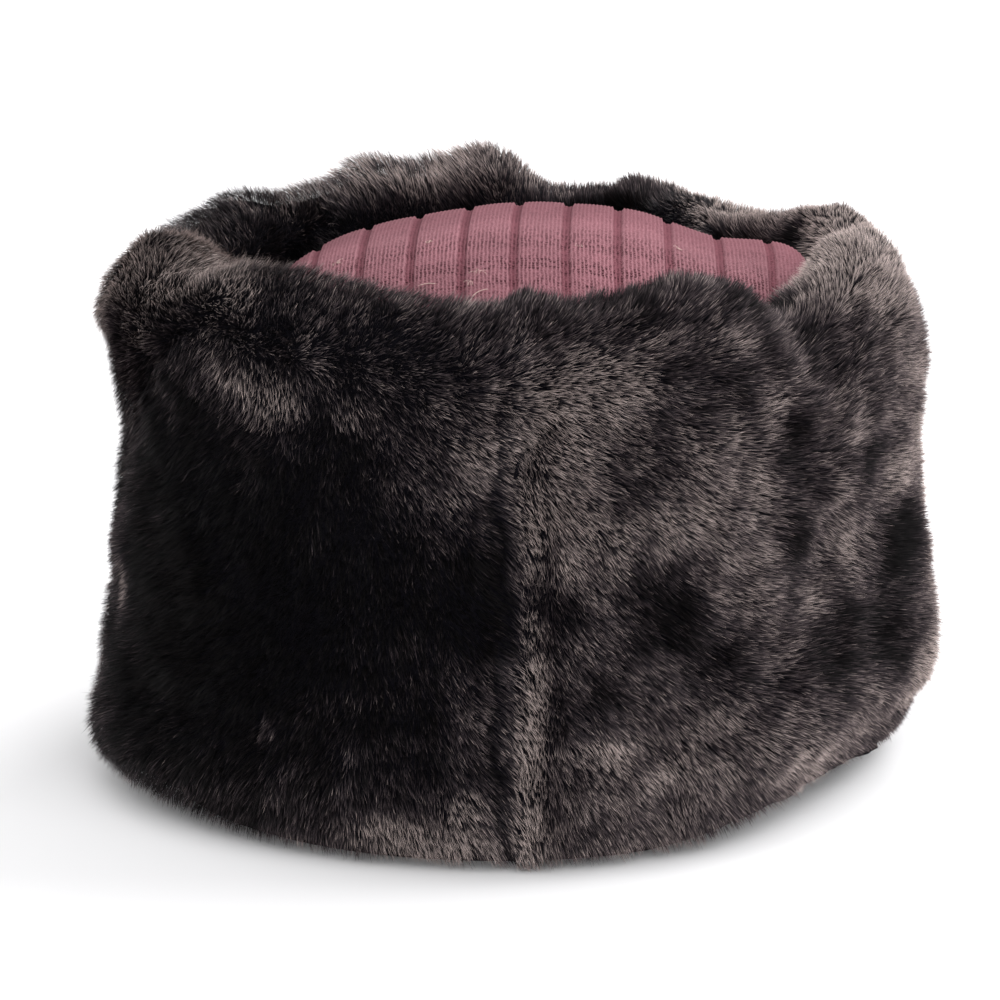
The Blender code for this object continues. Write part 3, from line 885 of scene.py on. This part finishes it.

# Painted light and shade on the pile, over a little of its own frosting of the tips: where the tips
# show paler, as painted highlights, or, below 0, darker, as painted shade. Rows of bearing, up,
# half width and half height in millimetres, and how pale.
TONE_AND_LIGHT_PATCHES = (
    (-52, 0.55, 60, 110, 0.30),
    (-85, 0.78, 11, 20, 0.95),
    (-82, 0.60, 9, 9, 0.55),
    (-62, 0.68, 24, 9, 0.40),
    (-70, 0.49, 16, 13, -1.35),
    (-89.0, 0.32, 3.4, 46, 2.20),
    (-78, 0.25, 9, 4.5, 1.30),
    (-69, 0.18, 9, 4.5, 0.90),
    (-60, 0.37, 20, 10, -0.95),
    (-44, 0.14, 26, 7, 0.40),
    (-62, 0.07, 22, 8, -0.15),
    (-57, 0.85, 3, 9, -0.70),
    (-48, 0.79, 5, 4, -1.10),
    (-30, 0.70, 24, 4.5, -1.20),
    (-36, 0.60, 12, 8, -0.25),
    (-41, 0.44, 6, 6, 0.75),
    (-33, 0.53, 4, 6, 0.70),
    (-18, 0.61, 7, 6, 0.90),
    (-19, 0.49, 11, 10, -2.60),
    (-31, 0.34, 22, 14, -1.40),
    (-2, 0.56, 8, 21, 3.60),
    (-1, 0.37, 4, 10, -1.10),
    (0, 0.26, 12, 13, 3.20),
    (-12, 0.22, 9, 9, 1.60),
    (-8, 0.76, 14, 18, 0.55),
    (-10, 1.04, 26, 11, 2.60),
    (-40, 0.93, 5, 5, -0.80),
    (-46, 0.56, 8, 10, -1.50),
    (-62, 0.87, 14, 6, -0.60),
    (-42, 0.85, 10, 7, -0.80),
    (-79, 0.37, 7, 6, -0.70),
    (-96, 0.30, 4, 46, -0.60),
    (-132, 1.03, 14, 6, 0.60),
    (-170, 0.93, 10, 9, 0.90),
    (-148, 1.04, 9, 7, 2.00),
    (-164, 1.00, 9, 8, 1.90),
    (-83, 0.50, 5, 6, -0.90),
    (-24, 1.03, 20, 12, 2.20),
    (-77, 0.92, 14, 10, 0.75),
    (-88, 0.68, 4, 8, 1.20),
    (-48.5, 0.70, 5, 30, -0.55),
    (-34, 0.645, 9, 7, -0.55),
    (-41, 0.36, 6, 12, -0.65),
    (-80, 0.655, 13, 5, 0.85),
    (-50, 0.755, 14, 6, -0.65),
    (-38, 1.10, 16, 10, -1.70),
    (23, 1.12, 6, 10, -2.60),
    (65, 1.105, 26, 6, -2.60),
    (-62, 1.02, 52, 7, -0.75),
    (-60, 0.92, 30, 8, -0.20),
    (-135, 0.45, 60, 62, -2.50),
    (-98, 0.51, 16, 14, -1.30),
    (-97, 0.80, 12, 15, 0.95),
    (-96, 0.29, 6, 12, 1.40),
    (-97, 0.15, 5, 4, 1.00),
    (-103, 0.07, 22, 7, 1.80),
    (-128, 0.865, 15, 11, 2.35),
    (-152, 0.92, 6, 5, 1.60),
    (-114, 0.86, 4.5, 5, 1.40),
    (-150, 1.03, 32, 10, 1.70),
    (-176, 0.98, 20, 15, 1.70),
    (-162, 0.41, 4, 9, 1.90),
    (-142, 0.02, 46, 4, 1.00),
    (-126, 0.26, 4, 4, 1.60),
    (-113, 0.23, 3, 3, 1.30),
    (118, 1.05, 52, 7, 1.00),
    (92, 1.04, 16, 6, 0.60),
    (47, 1.055, 20, 9, 4.20),
    (14, 1.045, 22, 9, 2.40),
    (124, 1.19, 76, 13, -2.40),
    (50, 1.19, 60, 10, -3.00),
    (-90, 1.24, 150, 16, -1.20),
    (150, 0.50, 60, 70, -0.10),
    (60, 0.50, 60, 70, 0.20),
)

# Where the pile stands longer or, below 0, shorter: rows of the same measures, and then
# the share of its length that is added.
TUFTED = (
    (118, 1.06, 40, 8, 0.40),
    (131, 1.07, 8, 8, 0.38),
    (118, 1.07, 7, 8, 0.28),
    (103, 1.07, 9, 8, 0.50),
    (150, 1.06, 9, 8, -0.25),
    (167, 1.04, 20, 12, 0.60),
    (-150, 1.04, 24, 9, 0.20),
    (76, 1.06, 14, 8, -0.15),
    (53, 1.06, 15, 9, -0.50),
    (20, 1.03, 26, 10, -0.42),
    (0, 1.14, 34, 8, 0.45),
    (-6, 0.12, 34, 16, -0.32),
)

# Crushed patches all over, painted on the tips as the light and shade of crushed pile, and how
# locks differ in their way and in their own facts: noise steps for each metre, seed, and how much
CRUSH = ((48.0, 5.0, 0.68), (140.0, 15.0, 0.68))
LOCK_WAYS = (70.0, 3.0, 0.24)
LOCK_FACTS = (120.0, 9.0, 1.4)
LOCK_FACTS_SPREAD = 0.30

HAIRS_PER_PIECE = 70000
PIECES_PER_SIDE = 3
HAIRS_PER_LOCK = 11
HAIR_LENGTH = 0.0066
HAIR_LENGTH_SPREAD = 0.10
GUARD_SHARE = 0.035
GUARD_LENGTH = 1.16
HAIR_WIDTH = 0.00024
WIDTH_SPREAD = 0.25
ROOT_RISE = 75.0
ROOT_RISE_SPREAD = 8
TIP_RISE = 52.0
TIP_RISE_SPREAD = 9
TIP_RISE_LOCK = 12
TIP_RISE_PALE = -7
TWIST = 60
LENGTH_LOCK = 0.10
LOCK_PULL = 0.30
MIDDLE_PULL = 0.45
FRAY = 0.24
FLOW_AGAIN = 0.6
MIDDLE_CLEAR = 0.0004
TIP_CLEAR = 0.0007
DOME_CLEAR = 0.0005
SHADE_LOCK = 0.28
SHADE_HAIR = 0.34
RIBBON_SHARE = 0.38
GLINT_SHARE = 0.12
GLINT = 0.80
PARTING_LENGTH = 0.65
PARTING_FADE = (0.134, 0.012)
RIM_SHARE = 1.04
RIM_LOWEST = 0.1
CROWN_LOWEST = 0.08
SEED = 20

draw = np.random.default_rng(SEED)
noise.seed_set(SEED)


def unit(vectors):
    """The vectors at length one."""
    return vectors / np.maximum(np.linalg.norm(vectors, axis=1, keepdims=True), 1e-12)


def up_share(points, normals):
    """Height share on the outside, and past 1 the way down inside the rim."""
    height = points[:, 2] / BAND_HEIGHT
    inside = (outward_share(points, normals) < 0) & (points[:, 2] > RIM_LOWEST)
    return np.where(inside, RIM_SHARE + np.maximum(RIM_SHARE - height, 0.0), height)


def combed(points, normals):
    """The way that the pile lies at points, along the surface."""
    bearing, share = bearings_of(points), up_share(points, normals)
    total = np.zeros((len(points), 2))
    for middle, up, degrees in FLOWS:
        around = BAND_RADIUS * np.radians(turn_between(bearing, middle))
        rise = BAND_HEIGHT * (share - up)
        weight = np.exp(-(around**2 + rise**2) / FLOW_REACH**2) + 1e-9
        way = math.radians(degrees)
        total += weight[:, None] * np.array((math.cos(way), math.sin(way)))
    turn = np.radians(bearing)
    level = np.stack((-np.sin(turn), np.cos(turn), np.zeros_like(turn)), axis=1)
    rising = unit(np.cross(normals, level))
    level = unit(np.cross(rising, normals))
    return unit(level * total[:, :1] + rising * total[:, 1:])


def patches_at(points, normals, table):
    """The sum at points of a table's soft oval patches."""
    bearing, share = bearings_of(points), up_share(points, normals)
    total = np.zeros(len(points))
    for middle, up, wide, high, amount in table:
        around = 1000 * BAND_RADIUS * np.radians(turn_between(bearing, middle)) / wide
        rise = 1000 * BAND_HEIGHT * (share - up) / high
        total += amount * np.exp(-(around**2 + rise**2))
    return total


def uneven(points, grain, seed):
    """Smooth seeded noise vectors at points."""
    shift = Vector((seed, 0.0, 0.0))
    return np.array([noise.noise_vector(Vector(point) * grain + shift) for point in points])


def tone_at(points, normals):
    """How pale the tips are at points, as painted light and shade over some of the pile's own
    frosting: 0 is the plain tone.
    """
    tone = patches_at(points, normals, TONE_AND_LIGHT_PATCHES)
    for grain, seed, amount in CRUSH:
        tone += amount * uneven(points, grain, seed)[:, 0]
    return tone


def scattered(chances, count):
    """Random places spread over the furred skin by each triangle's chance, with normals."""
    chosen = draw.choice(len(corners), size=count, p=chances)
    first, second = draw.random(count), draw.random(count)
    fold = first + second > 1
    first, second = np.where(fold, 1 - first, first), np.where(fold, 1 - second, second)
    shares = np.stack((1 - first - second, first, second), axis=1)[:, :, None]
    trio = corners[chosen]
    return (skin_points[trio] * shares).sum(axis=1), unit((skin_normals[trio] * shares).sum(axis=1))


def parting_at(points):
    """1 in a seam's parting, fading to 0 beside it and towards the front rim."""
    parting = np.zeros(len(points))
    top, fade = PARTING_FADE
    for seam in SEAM_BEARINGS:
        near = np.exp(-((seam_distance(points, seam) / PARTING) ** 2))
        parting = np.maximum(parting, near * np.clip((top - points[:, 2]) / fade, 0, 1))
    return parting


def hair_mesh(name, places, normals, tones, locks):
    """Hairs as one mesh of bent spindles, from the places where they stand."""
    count = len(places)
    lock_places, lock_ways, lock_facts, lock_of = locks
    facts = lock_facts[lock_of]
    jitter = draw.normal(0, 1, (count, 3))
    way = unit(combed(places, normals) * FLOW_AGAIN + lock_ways[lock_of] + jitter * FRAY)
    way = unit(way - normals * (way * normals).sum(axis=1, keepdims=True))
    parting = parting_at(places)
    guard = draw.random(count) < GUARD_SHARE
    length = HAIR_LENGTH * (1 + HAIR_LENGTH_SPREAD * draw.normal(0, 1, count).clip(-2, 2))
    length *= 1 + LENGTH_LOCK * facts[:, 0] + patches_at(places, normals, TUFTED)
    length *= np.where(guard, GUARD_LENGTH, 1.0) * (1 - (1 - PARTING_LENGTH) * parting)
    rise_root = np.radians(ROOT_RISE + ROOT_RISE_SPREAD * draw.normal(0, 1, count))
    rise_tip = TIP_RISE + TIP_RISE_SPREAD * draw.normal(0, 1, count)
    rise_tip = np.radians(rise_tip + TIP_RISE_LOCK * facts[:, 1] + TIP_RISE_PALE * tones)
    root = places - normals * PILE_DEPTH
    strayed = places - lock_places[lock_of]
    strayed -= normals * (strayed * normals).sum(axis=1, keepdims=True)
    low = way * np.cos(rise_root)[:, None] + normals * np.sin(rise_root)[:, None]
    high = way * np.cos(rise_tip)[:, None] + normals * np.sin(rise_tip)[:, None]
    half = (length / 2)[:, None]
    middle = root + low * half - strayed * (LOCK_PULL * MIDDLE_PULL)
    tip = middle + high * half - strayed * (LOCK_PULL * (1 - MIDDLE_PULL))
    for bend, clear in ((middle, MIDDLE_CLEAR), (tip, TIP_CLEAR)):
        reach = at_bearing(dome_reach, bearings_of(bend)) + DOME_CLEAR
        over = (np.hypot(bend[:, 0], bend[:, 1]) < reach) & (bend[:, 2] > CROWN_LOWEST)
        floor = np.where(over, dome_height(bend[:, 0], bend[:, 1]), 0.0)
        bend[:, 2] = np.maximum(bend[:, 2], floor + clear)
    direction = unit(tip - middle)
    flat = unit(np.cross(direction, normals))
    twist = np.radians(draw.uniform(-TWIST, TWIST, count))[:, None]
    side = unit(flat * np.cos(twist) + normals * np.sin(twist))
    share = draw.uniform(1 - WIDTH_SPREAD, 1 + WIDTH_SPREAD, count)[:, None]
    wide = side * (HAIR_WIDTH * share / 2)
    points = np.stack((root, middle + wide, middle - wide, tip), axis=1)
    start = (np.arange(count) * 4)[:, None]
    faces = np.concatenate([start + np.array(trio) for trio in ((0, 1, 2), (2, 1, 3))], axis=1)
    faces = faces.reshape(-1, 3)
    mesh = bpy.data.meshes.new(name)
    mesh.vertices.add(count * 4)
    mesh.vertices.foreach_set("co", points.ravel())
    mesh.loops.add(len(faces) * 3)
    mesh.loops.foreach_set("vertex_index", faces.ravel())
    mesh.polygons.add(len(faces))
    mesh.polygons.foreach_set("loop_start", np.arange(len(faces)) * 3)
    mesh.update(calc_edges=True)
    mesh.shade_smooth()
    along = mesh.attributes.new("along", "FLOAT", "POINT")
    along.data.foreach_set("value", np.tile((0.0, 0.5, 0.5, 1.0), count))
    # A seam's parting gets painted shade: its hairs are darker there
    shade = tones + SHADE_LOCK * facts[:, 2] + SHADE_HAIR * draw.normal(0, 1, count) - parting
    # Painted glints: a share of the hairs get paler tips
    shade += GLINT * (draw.random(count) < GLINT_SHARE)
    tone = mesh.attributes.new("tone", "FLOAT", "POINT")
    tone.data.foreach_set("value", np.repeat(shade, 4))
    facing = normals - direction * (normals * direction).sum(axis=1, keepdims=True)
    ribbon = unit(np.cross(side, direction))
    ribbon *= np.sign((ribbon * normals).sum(axis=1, keepdims=True))
    mixed = unit(unit(facing) * (1 - RIBBON_SHARE) + ribbon * RIBBON_SHARE)
    mesh.normals_split_custom_set_from_vertices(np.repeat(mixed, 4, axis=0))
    return mesh


HAIR_ROOT = (0.0030, 0.0027, 0.0044)
HAIR_MIDDLE = (0.0145, 0.0115, 0.0142)
HAIR_TIP = (0.097, 0.0735, 0.0790)
HAIR_FROST_AND_HIGHLIGHT = (0.63, 0.515, 0.480)

hair, tree, shader = new_material("dark fur hair", {
    "Roughness": 0.60, "Specular IOR Level": 0.12})
read = {}
for name in ("along", "tone"):
    made = tree.nodes.new("ShaderNodeAttribute")
    made.attribute_name = name
    read[name] = made.outputs["Fac"]
# Tips mix from their plain colour towards a pale one that is mostly a painted highlight
tip_color = color_mix(tree, map_range(tree, read["tone"], -0.15, 1.35), HAIR_TIP, HAIR_FROST_AND_HIGHLIGHT)
# Painted shade: where the tone is below 0 the whole hair is darkened
painted_dimming = map_range(tree, read["tone"], -1.1, 0.0, 0.08, 1.0)
color = color_mix(tree, map_range(tree, read["along"], 0.0, 0.5), HAIR_ROOT, HAIR_MIDDLE)
color = color_mix(tree, map_range(tree, read["along"], 0.58, 0.98), color, tip_color)
shade = tree.nodes.new("ShaderNodeCombineColor")
for name in ("Red", "Green", "Blue"):
    tree.links.new(painted_dimming, shade.inputs[name])
color = color_mix(tree, 1.0, color, shade.outputs["Color"], "MULTIPLY")
tree.links.new(color, shader.inputs["Base Color"])

first, second, third = (skin_points[corners[:, i]] for i in range(3))
areas = np.linalg.norm(np.cross(second - first, third - first), axis=1)
areas *= bears[corners].min(axis=1)
centres = bearings_of((first + second + third) / 3)
for side, (middle, half_span) in PANELS.items():
    chances = areas * (np.abs(turn_between(centres, middle)) < half_span)
    chances /= chances.sum()
    hairs = HAIRS_PER_PIECE * PIECES_PER_SIDE
    lock_places, lock_normals = scattered(chances, hairs // HAIRS_PER_LOCK)
    grain, seed, amount = LOCK_WAYS
    lock_ways = unit(combed(lock_places, lock_normals) + amount * uneven(lock_places, grain, seed))
    grain, seed, amount = LOCK_FACTS
    lock_facts = uneven(lock_places, grain, seed) * amount
    lock_facts += LOCK_FACTS_SPREAD * draw.normal(0, 1, lock_facts.shape)
    finder = kdtree.KDTree(len(lock_places))
    for index, place in enumerate(lock_places):
        finder.insert(place, index)
    finder.balance()
    lock_tones = tone_at(lock_places, lock_normals)
    places, normals = scattered(chances, hairs)
    order = np.argsort(places[:, 2])
    places, normals = places[order], normals[order]
    lock_of = np.array([finder.find(place)[1] for place in places])
    for part, where in enumerate(("hem", "wall", "rim")):
        span = slice(part * HAIRS_PER_PIECE, (part + 1) * HAIRS_PER_PIECE)
        name = f"fur_{side}_{where}"
        locks = (lock_places, lock_ways, lock_facts, lock_of[span])
        mesh = hair_mesh(name, places[span], normals[span], lock_tones[lock_of[span]], locks)
        fur = bpy.data.objects.new(name, mesh)
        bpy.context.scene.collection.objects.link(fur)
        mesh.materials.append(hair)
        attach(fur, "root")
        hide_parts(f"fur_panel_{side}")
